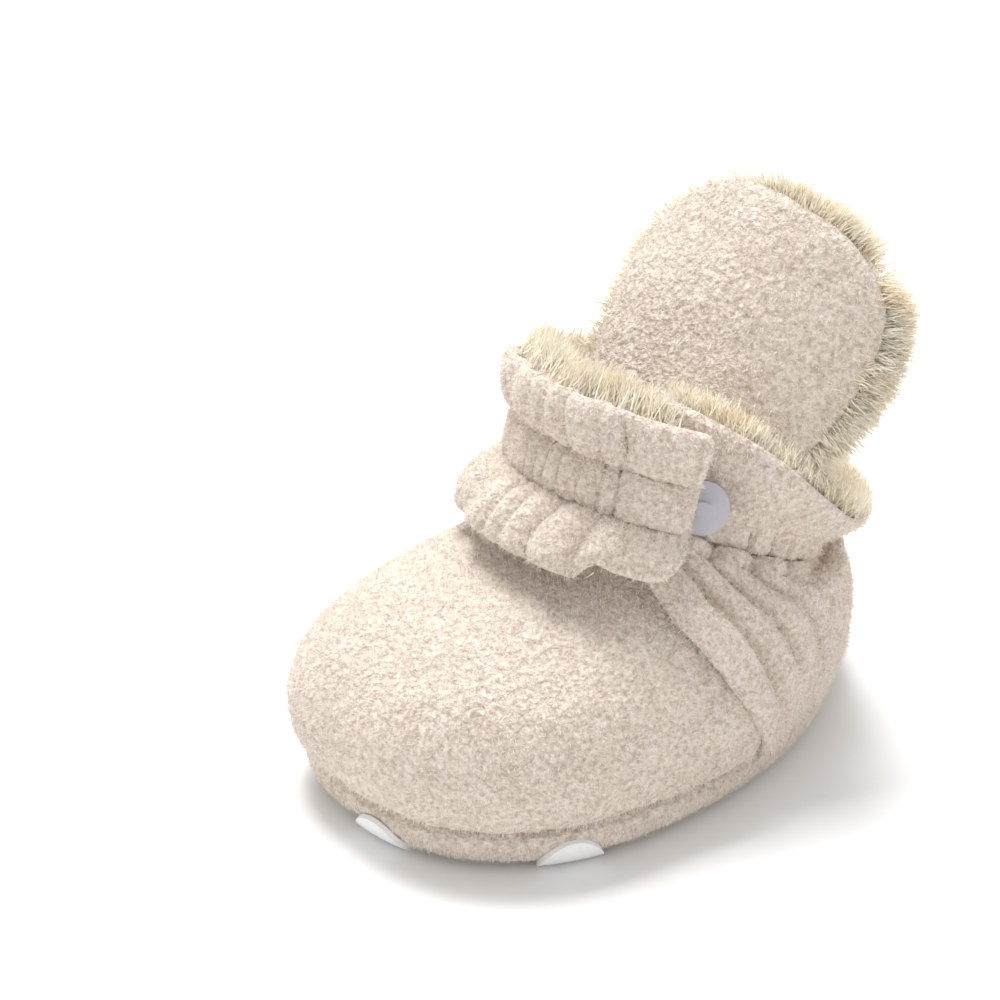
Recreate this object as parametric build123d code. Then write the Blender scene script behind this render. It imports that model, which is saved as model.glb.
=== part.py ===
"""Baby bootie: plush-lined fleece shoe with a wrap-over ankle strap and a tall tongue.

Millimetres, +Z up, toe towards -Y, +X is the outer side of the foot (the side the strap closes on).
The ground is Z = 0 and the grip patches stand on it.
"""
import math
import os

from build123d import *

# ---- sole ----------------------------------------------------------------------------------------
SOLE_TOE = -60.0
SOLE_HEEL = 58.0
SOLE_HALF_TOE = 36.3
SOLE_HALF_HEEL = 32.5
SOLE_BEND = -5.0
SOLE_TOP = 9.0
SOLE_EDGE_RADIUS = 5.5
SOLE_SKIN = 1.8
PATCH_RAISE = 0.8
PATCH_RADIUS = 6.2

# ---- upper ---------------------------------------------------------------------------------------
FLEECE = 2.0
PILE = 5.0
GAP = 0.5
SEAM_LOW = (7.0, 9.0)
SEAM_KNEE = (-10.0, 40.0)

# ---- ankle frame: the cuff and the heel are built round this leaning axis --------------------------
ANKLE_CENTRE = (-2.5, 15.0, 46.0)
ANKLE_LEAN = math.degrees(math.atan(0.45))
CUFF_RADIUS = 29.5
CUFF_FLEECE = 1.8
CUFF_PILE = 1.9
CUFF_START = 17.0
CUFF_END = 262.0
ELASTIC_START = 72.0
THROAT_RADIUS = 24.0
THROAT_TOP = 14.0

# ---- strap frame -----------------------------------------------------------------------------------
STRAP_CENTRE = (0.7, 11.8, 54.0)
STRAP_LEAN = math.degrees(math.atan(0.3))
STRAP_RADIUS = 31.5
STRAP_FLEECE = 1.8
STRAP_PILE = 1.8
STRAP_START = -92.0
STRAP_END = 20.5
TAB_START = 23.0
TAB_MIDDLE = 36.0
TAB_REACH = 8.2
TAB_LOW = -13.5
TAB_HIGH = 15.0
TAB_CORNER = 6.5
ELASTIC_HALF = 4.5
ELASTIC_THICK = 0.8
ELASTIC_ROOM = 1.1

# ---- press studs -----------------------------------------------------------------------------------
STUD_BEARINGS = (33.0, 53.2)
STUD_LEVEL = 4.0
STUD_RADIUS = 5.0
STUD_DISC = 1.2
STUD_NECK_RADIUS = 1.4
STUD_TOP = 2.9
CAP_RADIUS = 4.5
STUD_CAP_RADIUS = 3.6
CAP_THICK = 0.8
POST_RADIUS = 1.2
SOCKET_RADIUS = 4.8
SOCKET_SPAN = (1.7, 4.1)
SOCKET_BORE = 3.0
SOCKET_BORE_TOP = 3.5
TAB_CAP_TOP = 6.6

# ---- tongue ----------------------------------------------------------------------------------------
TONGUE_FOOT = (4.5, 4.0, 71.5)
TONGUE_YAW = 15.0
TONGUE_LEAN = 33.0
TONGUE_ROLL = 15.0
TONGUE_HEIGHT = 43.0
TONGUE_HALF_FOOT = 17.0
TONGUE_HALF_MAX = 28.5
TONGUE_CURVE = 52.0
TONGUE_FLEECE = 2.2
TONGUE_PILE = 5.0


def save(shape, name):
    """Write one named sub-part."""
    export_step(shape, "parts/" + name + ".step")


def signed_power(value, power):
    """Power that keeps the sign of its base."""
    return math.copysign(abs(value) ** power, value)


def foot_points(toe, heel, half_toe, half_heel, square=2.6, bend=SOLE_BEND, count=16):
    """Closed foot outline: boxy towards the toe, round at the heel, curved inwards at both ends."""
    middle = toe + 0.42 * (heel - toe)
    points = []
    for i in range(count):
        angle = 2.0 * math.pi * i / count
        c = math.cos(angle)
        s = math.sin(angle)
        power = 2.0 / (square if c > 0 else 2.1)
        length = middle - toe if c > 0 else heel - middle
        y = middle - length * signed_power(c, power)
        half = half_toe + (half_heel - half_toe) * (y - toe) / (heel - toe)
        x = half * signed_power(s, power) + bend * ((y - middle) / 50.0) ** 2
        points.append((x, y))
    return points


def closed_face(points):
    """Face bounded by one smooth closed curve."""
    return Face(Wire([Edge.make_spline([Vector(*p) for p in points], periodic=True)]))


def foot_face(z_toe, z_heel, toe, heel, half_toe, half_heel, inset=0.0, square=2.6, bend=SOLE_BEND):
    """Foot outline laid in a plane that rises from the heel height to the toe height."""
    outline = foot_points(toe + inset, heel - inset, half_toe - inset, half_heel - inset, square, bend)
    slope = (z_heel - z_toe) / (heel - toe)
    return closed_face([(x, y, z_toe + slope * (y - toe)) for x, y in outline])


def ring_face(frame, level, radius, shift=(0.0, 0.0), count=16):
    """Round section of a leaning frame, centre moved sideways by shift."""
    points = []
    for i in range(count):
        angle = 2.0 * math.pi * i / count
        local = Vector(shift[0] + radius * math.sin(angle), shift[1] - radius * math.cos(angle), level)
        points.append(tuple((frame * Location(local)).position))
    return closed_face(points)


def ankle_frame():
    """Ankle frame: origin on the elastic line, axis leaning backwards."""
    return Location(ANKLE_CENTRE) * Location((0, 0, 0), (-ANKLE_LEAN, 0, 0))


def strap_frame():
    """Strap frame: origin on the strap's elastic line, axis leaning backwards a little less."""
    return Location(STRAP_CENTRE) * Location((0, 0, 0), (-STRAP_LEAN, 0, 0))


def tongue_frame():
    """Tongue frame: x along its width, z up the flap, +y to the back."""
    turned = Location(TONGUE_FOOT) * Location((0, 0, 0), (0, 0, TONGUE_YAW))
    return turned * Location((0, 0, 0), (-TONGUE_LEAN, 0, 0)) * Location((0, 0, 0), (0, TONGUE_ROLL, 0))


def side_slab(points, half=80.0):
    """Prism across the foot with the given outline in the side view (y, z)."""
    wire = Wire.make_polygon([Vector(-half, y, z) for y, z in points], close=True)
    return Solid.extrude(Face(wire), Vector(2 * half, 0, 0))


def sector(frame, start, end, low, high, reach=75.0):
    """Wedge of a frame between two bearings (0 is the toe side, positive towards +X)."""
    steps = max(2, int(abs(end - start) / 30.0) + 1)
    points = [Vector(0, 0, low)]
    for i in range(steps + 1):
        bearing = math.radians(start + (end - start) * i / steps)
        points.append(Vector(reach * math.sin(bearing), -reach * math.cos(bearing), low))
    wedge = Solid.extrude(Face(Wire.make_polygon(points, close=True)), Vector(0, 0, high - low))
    return frame * wedge


def solid_of(shape):
    """The largest solid of a boolean result."""
    return sorted(shape.solids(), key=lambda body: body.volume)[-1]


# ---- sole ----------------------------------------------------------------------------------------

def sole_block(inset, bottom, top, edge):
    """Sole-shaped block with a rounded lower edge."""
    outline = foot_face(bottom, bottom, SOLE_TOE, SOLE_HEEL, SOLE_HALF_TOE, SOLE_HALF_HEEL, inset)
    block = Solid.extrude(outline, Vector(0, 0, top - bottom))
    lower = block.edges().sort_by(Axis.Z)[0]
    return block.fillet(edge, [lower])


def sole_cover():
    """Fleece cup wrapped round the underside and edge of the sole."""
    outer = sole_block(0.0, PATCH_RAISE, SOLE_TOP, SOLE_EDGE_RADIUS)
    inner = sole_block(SOLE_SKIN, PATCH_RAISE + SOLE_SKIN, SOLE_TOP + 1.0, SOLE_EDGE_RADIUS - SOLE_SKIN)
    return solid_of(outer - inner)


def sole_foam():
    """Foam pad that fills the cup."""
    inset = SOLE_SKIN + 0.1
    return sole_block(inset, PATCH_RAISE + inset, SOLE_TOP, SOLE_EDGE_RADIUS - inset)


def footbed():
    """Plush footbed lying on the foam inside the upper."""
    inset = FLEECE + PILE + 0.8
    level = SOLE_TOP + 0.2
    base = foot_face(level, level, SOLE_TOE, SOLE_HEEL, SOLE_HALF_TOE, SOLE_HALF_HEEL, inset)
    block = Solid.extrude(base, Vector(0, 0, 4.0))
    upper = block.edges().sort_by(Axis.Z)[-1]
    return block.fillet(1.5, [upper])


def patch_places():
    """Centres of the grip patches: two on the toe edge, the rest under the ball and the heel."""
    return [(3.0, -57.5), (30.0, -36.0), (-22.0, -44.0), (4.0, -36.0), (-24.0, -18.0),
            (22.0, -14.0), (0.0, 0.0), (-16.0, 24.0), (12.0, 24.0), (-4.0, 44.0)]


def grip_patches():
    """Non-slip patches: thin skins that follow the sole, a few wrapping up its rounded edge."""
    skin = sole_block(-PATCH_RAISE, 0.0, SOLE_TOP - 1.0, SOLE_EDGE_RADIUS)
    core = sole_block(0.0, PATCH_RAISE, SOLE_TOP, SOLE_EDGE_RADIUS)
    shell = skin - core
    patches = []
    for x, y in patch_places():
        round_edge = Pos(x, y, 0.5) * Solid.make_sphere(PATCH_RADIUS)
        patches.append(solid_of(shell & round_edge))
    return Compound(children=patches)


# ---- upper ---------------------------------------------------------------------------------------

def low_sections(inset, swell=0.0):
    """Sections of the upper from the sole seam to the shoulder of the dome."""
    g = swell
    return [
        foot_face(9.2, 9.2, -60.0, 58.0, 36.3, 32.5, inset),
        foot_face(14.5, 14.5, -62.4 - g, 60.0 + g, 38.4 + g, 34.3 + g, inset),
        foot_face(22.0, 19.5, -63.0 - g, 60.0 + g, 39.2 + g, 34.6 + g, inset),
        foot_face(30.0, 24.5, -59.0, 58.0 + g, 37.8 + g, 33.6 + g, inset),
        foot_face(36.5, 28.5, -49.5, 54.0 + g, 35.0 + g, 31.8 + g, inset),
    ]


def vamp_form(inset):
    """Full form of the toe dome running up into the throat, everything inset by one amount."""
    frame = ankle_frame()
    radius = THROAT_RADIUS - inset * 0.72
    sections = low_sections(inset)
    sections.append(foot_face(41.5, 31.5, -35.0, 49.0, 31.0, 30.0, inset, 2.4, -3.5))
    sections.append(foot_face(46.0, 33.5, -21.0, 44.0, 27.0, 27.0, inset * 0.85, 2.2, -2.5))
    sections.append(ring_face(frame, -2.0, radius))
    sections.append(ring_face(frame, THROAT_TOP, radius))
    return Solid.make_loft([face.outer_wire() for face in sections])


def quarter_form(inset):
    """Full form of the heel cup up to the ankle elastic."""
    frame = ankle_frame()
    radius = CUFF_RADIUS + 0.5 - inset * 0.75
    sections = low_sections(inset, 0.6)
    sections.append(foot_face(41.0, 31.0, -30.0, 50.0, 32.2, 31.2, inset, 2.3, -3.5))
    sections.append(ring_face(frame, -4.5, radius))
    sections.append(ring_face(frame, -2.0, radius - 0.3))
    return Solid.make_loft([face.outer_wire() for face in sections])


def front_region():
    """Region that belongs to the vamp: the dome ahead of the heel seam, and the throat above it."""
    dome = side_slab([(-90, 0), (SEAM_LOW[0], 0), SEAM_LOW, SEAM_KNEE, (-12.4, 60.0), (-90, 60)])
    return dome + throat_region()


def rear_region():
    """Side-view region that belongs to the heel quarter."""
    return side_slab([(SEAM_LOW[0] + GAP, 0), (SEAM_LOW[0] + GAP, 9), (SEAM_KNEE[0] + GAP, 40),
                      (-11.6, 62), (-11.6, 70), (90, 70), (90, 0)])


def throat_region():
    """Upright part of the vamp: a front strip wide enough to meet the dome, then a narrower collar."""
    frame = ankle_frame()
    collar = frame * Solid.make_cylinder(THROAT_RADIUS + 0.3, 60.0, Plane(origin=(0, 0, -14)))
    strip = frame * Solid.make_cylinder(THROAT_RADIUS + 5.0, 60.0, Plane(origin=(0, 0, -14)))
    collar = collar & sector(frame, -58.0, 64.0, -40.0, 90.0)
    strip = strip & sector(frame, -36.0, 36.0, -40.0, 90.0)
    behind = side_slab([(-12.5, 47.5), (9.0, 44.0), (9.0, 130), (-12.5, 130)])
    return (collar + strip) & behind


def throat_room():
    """Room the throat takes ahead of the heel cup's lining."""
    return Solid.make_box(46.0, 12.0, 22.0, Plane(origin=(-22.0, -14.0, 40.0)))


def strap_sweep():
    """Room the strap's skirt needs along the inner side of the heel cup."""
    return sector(strap_frame(), -110.0, -12.0, -17.6, 40.0)


def vamp_outer():
    """Fleece toe dome with the throat that rises behind the strap."""
    shell = vamp_form(0.0) - vamp_form(FLEECE)
    return solid_of(shell & front_region())


def vamp_lining():
    """Plush lining of the toe dome and throat."""
    shell = vamp_form(FLEECE + GAP) - vamp_form(FLEECE + PILE)
    return solid_of(shell & front_region())


def heel_quarter_outer():
    """Fleece heel cup, its front edge lapping the dome."""
    shell = quarter_form(0.0) - quarter_form(FLEECE)
    return solid_of((shell & rear_region()) - strap_sweep())


def heel_quarter_lining():
    """Plush lining of the heel cup."""
    shell = quarter_form(FLEECE + GAP) - quarter_form(FLEECE + PILE)
    shell = (shell & rear_region()) - strap_sweep()
    return solid_of(shell - throat_room())


# ---- cuff ----------------------------------------------------------------------------------------

def cuff_form(inset):
    """Cuff form: a gathered waist at the elastic, then a flare that opens to the back and outer side."""
    frame = ankle_frame()
    waist = CUFF_RADIUS - inset
    sections = [
        ring_face(frame, -1.8, waist),
        ring_face(frame, 2.5, waist),
        ring_face(frame, 8.0, waist + 3.2, (1.9, 3.2)),
        ring_face(frame, 14.0, waist + 5.6, (3.2, 5.8)),
        ring_face(frame, 24.0, waist + 7.6, (4.2, 8.0)),
    ]
    return Solid.make_loft([face.outer_wire() for face in sections])


def cuff_region():
    """Part of the ring the cuff occupies, its top edge falling from the wing to the heel."""
    top = side_slab([(-40, 20), (-40, 84), (-14, 82), (-3, 77), (8, 69), (20, 57), (31, 48.5),
                     (46, 43), (75, 40), (75, 20)])
    return top & sector(ankle_frame(), CUFF_START, CUFF_END, -30.0, 60.0)


def band_slab(frame, low, high):
    """Everything between two levels of a leaning frame."""
    return frame * Solid.make_cylinder(70.0, high - low, Plane(origin=(0, 0, low)))


def ankle_elastic():
    """Elastic band sewn between the two layers of the cuff at the ankle."""
    face = CUFF_FLEECE + 0.15
    frame = ankle_frame()
    tube = cuff_form(face) - cuff_form(face + ELASTIC_THICK)
    return solid_of((tube & band_slab(frame, -1.2, 2.2)) & sector(frame, ELASTIC_START, CUFF_END - 3, -30.0, 60.0))


def cuff_outer():
    """Fleece side of the cuff, with the wing that passes under the tab."""
    return solid_of((cuff_form(0.0) - cuff_form(CUFF_FLEECE)) & cuff_region())


def cuff_lining():
    """Plush side of the cuff."""
    face = CUFF_FLEECE + ELASTIC_ROOM
    return solid_of((cuff_form(face) - cuff_form(face + CUFF_PILE)) & cuff_region())


# ---- strap and tab -------------------------------------------------------------------------------

def strap_form(inset):
    """Strap form: shirred waist between a ruffled top and a skirt that stands off the vamp."""
    frame = strap_frame()
    waist = STRAP_RADIUS - inset
    sections = [
        ring_face(frame, -16.5, waist + 6.0),
        ring_face(frame, -11.0, waist + 3.4),
        ring_face(frame, -5.0, waist),
        ring_face(frame, 5.0, waist),
        ring_face(frame, 10.0, waist + 1.8),
        ring_face(frame, 15.5, waist + 2.6),
    ]
    return Solid.make_loft([face.outer_wire() for face in sections])


def strap_sector(start, end):
    """Wedge of the strap ring."""
    return sector(strap_frame(), start, end, -40.0, 60.0)


def strap_elastic():
    """Elastic band between the layers of the strap's shirred channel."""
    face = STRAP_FLEECE + 0.15
    tube = strap_form(face) - strap_form(face + ELASTIC_THICK)
    tube = tube & band_slab(strap_frame(), -ELASTIC_HALF, ELASTIC_HALF)
    return solid_of(tube & strap_sector(STRAP_START + 3, STRAP_END - 3))


def strap_outer():
    """Fleece side of the wrap-over strap."""
    return solid_of((strap_form(0.0) - strap_form(STRAP_FLEECE)) & strap_sector(STRAP_START, STRAP_END))


def strap_lining():
    """Plush side of the wrap-over strap."""
    face = STRAP_FLEECE + ELASTIC_ROOM
    return solid_of((strap_form(face) - strap_form(face + STRAP_PILE)) & strap_sector(STRAP_START, STRAP_END))


def tab_region():
    """Flat closing tab: straight end with rounded corners."""
    frame = strap_frame()
    bearing = math.radians(TAB_MIDDLE)
    corners = [(-20, TAB_LOW), (TAB_REACH, TAB_LOW), (TAB_REACH, TAB_HIGH), (-20, TAB_HIGH)]
    face = make_face(Polyline(*corners, close=True))
    lower = face.vertices().filter_by(lambda v: v.X > 0).sort_by(Axis.Y)[0]
    face = fillet(lower, TAB_CORNER)
    upper = face.vertices().filter_by(lambda v: v.X > 0).sort_by(Axis.Y)[-1]
    face = fillet(upper, 2.5)
    plane = Plane(origin=(0, 0, 0), x_dir=(math.cos(bearing), math.sin(bearing), 0),
                  z_dir=(math.sin(bearing), -math.cos(bearing), 0))
    prism = frame * (plane * extrude(face, 60.0))
    return prism & strap_sector(TAB_START, TAB_START + 90.0)


def stud_plane(index, depth=0.0):
    """Plane on the cuff's outer face at a stud, its normal pointing outwards."""
    frame = ankle_frame()
    bearing = math.radians(STUD_BEARINGS[index])
    radius = CUFF_RADIUS + 0.35 + depth
    seat = frame * Location((radius * math.sin(bearing), -radius * math.cos(bearing), STUD_LEVEL))
    tip = frame * Location(((radius + 1) * math.sin(bearing), -(radius + 1) * math.cos(bearing), STUD_LEVEL))
    return Plane(origin=seat.position, z_dir=tip.position - seat.position)


def disc_at(index, radius, low, high):
    """Disc on a stud's axis between two distances from the cuff."""
    return Solid.make_cylinder(radius, high - low, stud_plane(index, low))


def snap_studs():
    """Two press studs on the wing, one for each closing position."""
    studs = []
    for i in range(len(STUD_BEARINGS)):
        disc = disc_at(i, STUD_RADIUS, 0.0, STUD_DISC)
        studs.append(solid_of(disc + disc_at(i, STUD_NECK_RADIUS, 0.0, STUD_TOP)))
    return Compound(children=studs)


def stud_cap(index, grow=0.0):
    """Cap behind the wing's fleece with the post that holds a stud."""
    inner = -CUFF_FLEECE - 0.8 - CAP_THICK
    cap = disc_at(index, STUD_CAP_RADIUS + grow, inner - grow, inner + CAP_THICK + grow)
    return cap + disc_at(index, POST_RADIUS + grow, inner, -0.05 + grow)


def stud_caps():
    """The two caps hidden between the layers of the wing."""
    return Compound(children=[solid_of(stud_cap(i)) for i in range(len(STUD_BEARINGS))])


def snap_socket():
    """Socket under the tab that presses over the first stud."""
    body = disc_at(0, SOCKET_RADIUS, SOCKET_SPAN[0], SOCKET_SPAN[1])
    return solid_of(body - disc_at(0, SOCKET_BORE, SOCKET_SPAN[0] - 1, SOCKET_BORE_TOP))


def socket_cap(grow=0.0):
    """Cap and post that hold the socket, hidden between the layers of the tab."""
    level = TAB_CAP_TOP
    cap = disc_at(0, CAP_RADIUS + grow, level - CAP_THICK - grow, level + grow)
    return cap + disc_at(0, POST_RADIUS + grow, SOCKET_SPAN[1] + 0.05 - grow, level)


def tab_outer():
    """Outer fleece of the tab."""
    shell = (strap_form(0.0) - strap_form(STRAP_FLEECE)) & tab_region()
    return solid_of(shell - socket_cap(0.1))


def tab_lining():
    """Inner fleece of the tab."""
    face = STRAP_FLEECE + ELASTIC_ROOM
    shell = (strap_form(face) - strap_form(face + STRAP_PILE)) & tab_region()
    room = disc_at(0, SOCKET_RADIUS + 0.1, SOCKET_SPAN[0], SOCKET_SPAN[1] + 0.05)
    return solid_of((shell - socket_cap(0.1)) - room)


# ---- tongue --------------------------------------------------------------------------------------

def tongue_outline(grow=0.0):
    """Rounded flap outline in its own width and height."""
    foot = TONGUE_HALF_FOOT + grow
    wide = TONGUE_HALF_MAX + grow
    top = TONGUE_HEIGHT + grow
    side = [(foot, 0.6), (wide * 0.96, 0.33 * top), (wide * 0.99, 0.57 * top), (wide * 0.78, 0.82 * top),
            (wide * 0.4, 0.97 * top), (0, top)]
    points = side + [(-x, z) for x, z in reversed(side[:-1])]
    arc = Edge.make_spline([Vector(x, -30, z) for x, z in points])
    base = Edge.make_line(Vector(-foot, -30, 0.6), Vector(foot, -30, 0.6))
    return Solid.extrude(Face(Wire([arc, base])), Vector(0, 90, 0))


def tongue_layer(front, back, grow=0.0):
    """One layer of the flap, curved across its width."""
    outer = Solid.make_cylinder(TONGUE_CURVE - front, 90.0, Plane(origin=(0, TONGUE_CURVE, -20)))
    inner = Solid.make_cylinder(TONGUE_CURVE - back, 100.0, Plane(origin=(0, TONGUE_CURVE, -25)))
    half = Solid.make_box(120, TONGUE_CURVE, 120, Plane(origin=(-60, -5, -20)))
    layer = ((outer - inner) & half) & tongue_outline(grow)
    return tongue_frame() * solid_of(layer)


def tongue_outer():
    """Fleece face of the tongue."""
    return tongue_layer(0.0, TONGUE_FLEECE)


def tongue_lining():
    """Plush face of the tongue, standing proud of the fleece round its edge."""
    return tongue_layer(TONGUE_FLEECE + 0.2, TONGUE_FLEECE + 0.2 + TONGUE_PILE, 1.5)


def main():
    os.makedirs("parts", exist_ok=True)
    caps = [stud_cap(i, 0.1) for i in range(len(STUD_BEARINGS))]
    studs = [disc_at(i, STUD_RADIUS + 0.1, -0.05, 8.0) for i in range(len(STUD_BEARINGS))]
    cuff_face = cuff_outer()
    cuff_plush = cuff_lining()
    for cap in caps:
        cuff_face = cuff_face - cap
    for i in range(len(STUD_BEARINGS)):
        cuff_plush = cuff_plush - disc_at(i, STUD_CAP_RADIUS + 0.2, -9.0, 4.0)
    for room in studs:
        cuff_face = cuff_face - room
    save(sole_cover(), "sole_cover")
    save(sole_foam(), "sole_foam")
    save(footbed(), "footbed")
    save(grip_patches(), "grip_patches")
    save(vamp_outer(), "vamp_outer")
    save(vamp_lining(), "vamp_lining")
    save(heel_quarter_outer(), "heel_quarter_outer")
    save(heel_quarter_lining(), "heel_quarter_lining")
    save(solid_of(cuff_face), "cuff_outer")
    save(solid_of(cuff_plush), "cuff_lining")
    save(ankle_elastic(), "ankle_elastic")
    save(snap_studs(), "snap_studs")
    save(stud_caps(), "stud_caps")
    save(strap_outer(), "strap_outer")
    save(strap_lining(), "strap_lining")
    save(strap_elastic(), "strap_elastic")
    save(tab_outer(), "tab_outer")
    save(tab_lining(), "tab_lining")
    save(snap_socket(), "snap_socket")
    save(solid_of(socket_cap()), "socket_cap")
    save(tongue_outer(), "tongue_outer")
    save(tongue_lining(), "tongue_lining")


main()
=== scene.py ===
"""Baby bootie: fleece upper, plush lining, shirred strap with a flat tab, tall tongue.

Lengths in this file are millimetres and are turned into metres when a mesh is made.
Toe towards -Y, outer side of the foot +X, ground at Z = 0.
"""
import math

import bpy
import numpy as np
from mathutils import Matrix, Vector


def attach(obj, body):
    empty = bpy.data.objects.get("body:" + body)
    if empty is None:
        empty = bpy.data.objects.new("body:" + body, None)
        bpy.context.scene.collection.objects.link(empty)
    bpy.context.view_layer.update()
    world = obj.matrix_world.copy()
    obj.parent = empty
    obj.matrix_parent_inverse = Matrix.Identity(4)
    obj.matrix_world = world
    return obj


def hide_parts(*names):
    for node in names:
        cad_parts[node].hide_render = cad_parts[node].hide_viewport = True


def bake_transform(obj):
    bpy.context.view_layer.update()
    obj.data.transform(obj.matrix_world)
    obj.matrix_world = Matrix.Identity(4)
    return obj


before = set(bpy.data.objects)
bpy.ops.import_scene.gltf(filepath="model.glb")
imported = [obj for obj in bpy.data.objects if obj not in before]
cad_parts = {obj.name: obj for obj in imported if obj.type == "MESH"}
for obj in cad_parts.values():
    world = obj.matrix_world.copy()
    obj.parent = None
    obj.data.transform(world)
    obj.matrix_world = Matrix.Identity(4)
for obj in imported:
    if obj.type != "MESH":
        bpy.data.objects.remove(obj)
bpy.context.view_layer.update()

MM = 0.001
RNG = np.random.default_rng(11)

# ---- dimensions ------------------------------------------------------------------------------------
ANKLE_CENTRE = np.array([-2.5, 15.0, 46.0])
ANKLE_LEAN = math.atan(0.45)
STRAP_CENTRE = np.array([0.7, 11.8, 54.0])
STRAP_LEAN = math.atan(0.3)
STRAP_RADIUS = 31.5
STRAP_START = -92.0
TAB_MIDDLE = 36.0
TAB_REACH = 11.2
TAB_LINING_END = 49.5
TAB_RADIUS = 33.0
TAB_CORNERS = (6.5, 2.5)          # lower and upper rounded corner
CHANNEL = 4.6                     # stitched rows above and below the strap's elastic line
STUD_BEARINGS = (33.0, 53.2)
STUD_LEVEL = 4.0
STUD_SEAT = 29.85                 # radius that the studs sit at
TONGUE_FOOT = np.array([4.5, 4.0, 71.5])
TONGUE_TURN = (math.radians(15.0), math.radians(-33.0), math.radians(15.0))
TONGUE_CURVE = 52.0
TONGUE_HEIGHTS = [-7.0, 0.6, 14.2, 24.5, 35.3, 41.7, 43.2]
TONGUE_SIDES = ([20.5, 25.5, 28.4, 28.6, 25.4, 16.0, 0.0], [20.5, 21.0, 24.2, 24.8, 19.8, 10.5, 0.0])
PATCHES = [(3.0, -57.5), (30.0, -36.0), (-22.0, -44.0), (4.0, -36.0), (-24.0, -18.0),
           (22.0, -14.0), (0.0, 0.0), (-16.0, 24.0), (12.0, 24.0), (-4.0, 44.0)]


# ---- helpers -------------------------------------------------------------------------------------
def lattice(i, j, k, seed):
    """Repeatable value from 0 to 1 at each whole-numbered point."""
    n = (i * 374761393 + j * 668265263 + k * 1103515245 + seed * 1274126177) & 0xFFFFFFFF
    n = ((n ^ (n >> 13)) * 1274126177) & 0xFFFFFFFF
    return ((n ^ (n >> 16)) & 0xFFFF) / 65535.0


def noise(points, size, seed=0):
    """Smooth noise from -1 to 1 over points, with features of one size."""
    q = np.asarray(points, float) / size
    cell = np.floor(q).astype(np.int64)
    f = q - cell
    f = f * f * (3 - 2 * f)
    total = np.zeros(q.shape[:-1])
    for dx in (0, 1):
        for dy in (0, 1):
            for dz in (0, 1):
                w = np.abs(1 - dx - f[..., 0]) * np.abs(1 - dy - f[..., 1]) * np.abs(1 - dz - f[..., 2])
                total += w * lattice(cell[..., 0] + dx, cell[..., 1] + dy, cell[..., 2] + dz, seed)
    return total * 2 - 1


def curve(xs, ys, x):
    """Smooth curve through points, read at x."""
    xs = np.asarray(xs, float)
    ys = np.asarray(ys, float)
    slope = np.gradient(ys, xs)
    i = np.clip(np.searchsorted(xs, x) - 1, 0, len(xs) - 2)
    h = xs[i + 1] - xs[i]
    t = np.clip((x - xs[i]) / h, 0, 1)
    a = (1 + 2 * t) * (1 - t) ** 2 * ys[i] + t * (1 - t) ** 2 * h * slope[i]
    return a + t * t * (3 - 2 * t) * ys[i + 1] + t * t * (t - 1) * h * slope[i + 1]


def step(a, b, x):
    """Smooth step from 0 at a to 1 at b."""
    t = np.clip((np.asarray(x, float) - a) / (b - a), 0, 1)
    return t * t * (3 - 2 * t)


def spaced(length, pitch, edge):
    """Positions from 0 to 1, closer together in the rounded edges."""
    e = min(edge / length, 0.3)
    near = e * (1 - np.cos(np.radians(np.arange(0, 91, 15))))
    middle = np.linspace(e, 1 - e, max(4, int(length * (1 - 2 * e) / pitch)))
    return np.concatenate([near[:-1], middle, 1 - near[:-1][::-1]])


def unit(v):
    """Vectors scaled to a length of one."""
    return v / np.maximum(np.linalg.norm(v, axis=-1, keepdims=True), 1e-9)


def normals(grid):
    """Outward direction of each point of a grid (first index runs round to +X, second upwards)."""
    return unit(np.cross(np.gradient(grid, axis=0), np.gradient(grid, axis=1)))


def edge_distance(grid):
    """Distance of each grid point from the sheet's nearest edge, measured along the sheet."""
    best = None
    for axis in (0, 1):
        run = np.linalg.norm(np.diff(grid, axis=axis), axis=-1)
        pads = [(1, 0), (0, 0)] if axis == 0 else [(0, 0), (1, 0)]
        run = np.cumsum(np.pad(run, pads), axis=axis)
        total = run[-1:, :] if axis == 0 else run[:, -1:]
        near = np.minimum(run, total - run)
        best = near if best is None else np.minimum(best, near)
    return best


def ring(centre, lean, bearing, radius, level, shift=(0.0, 0.0)):
    """Points round a leaning axis. Bearing in degrees, 0 at the toe side, positive towards +X."""
    b = np.radians(bearing)
    x = shift[0] + radius * np.sin(b)
    y = shift[1] - radius * np.cos(b)
    px = centre[0] + x
    py = centre[1] + y * math.cos(lean) + level * math.sin(lean)
    pz = centre[2] - y * math.sin(lean) + level * math.cos(lean)
    return np.stack(np.broadcast_arrays(px, py, pz), axis=-1)


def lobes(x, power=0.6):
    """Puffed lobes with a tight crease between each two."""
    return np.abs(np.sin(np.pi * x)) ** power


def build(name, points, faces, material):
    """Smooth mesh object from points in millimetres."""
    mesh = bpy.data.meshes.new(name)
    mesh.from_pydata((points * MM).tolist(), [], faces)
    mesh.polygons.foreach_set("use_smooth", np.ones(len(mesh.polygons), bool))
    mesh.update()
    thing = bpy.data.objects.new(name, mesh)
    bpy.context.collection.objects.link(thing)
    mesh.materials.append(material)
    return thing


def nub(points, amount=0.22):
    """Low pile bumps of brushed fleece."""
    return amount * (noise(points, 1.5, 3) + 0.7 * noise(points, 0.9, 4) + 1.2 * noise(points, 7.0, 5))


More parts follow.
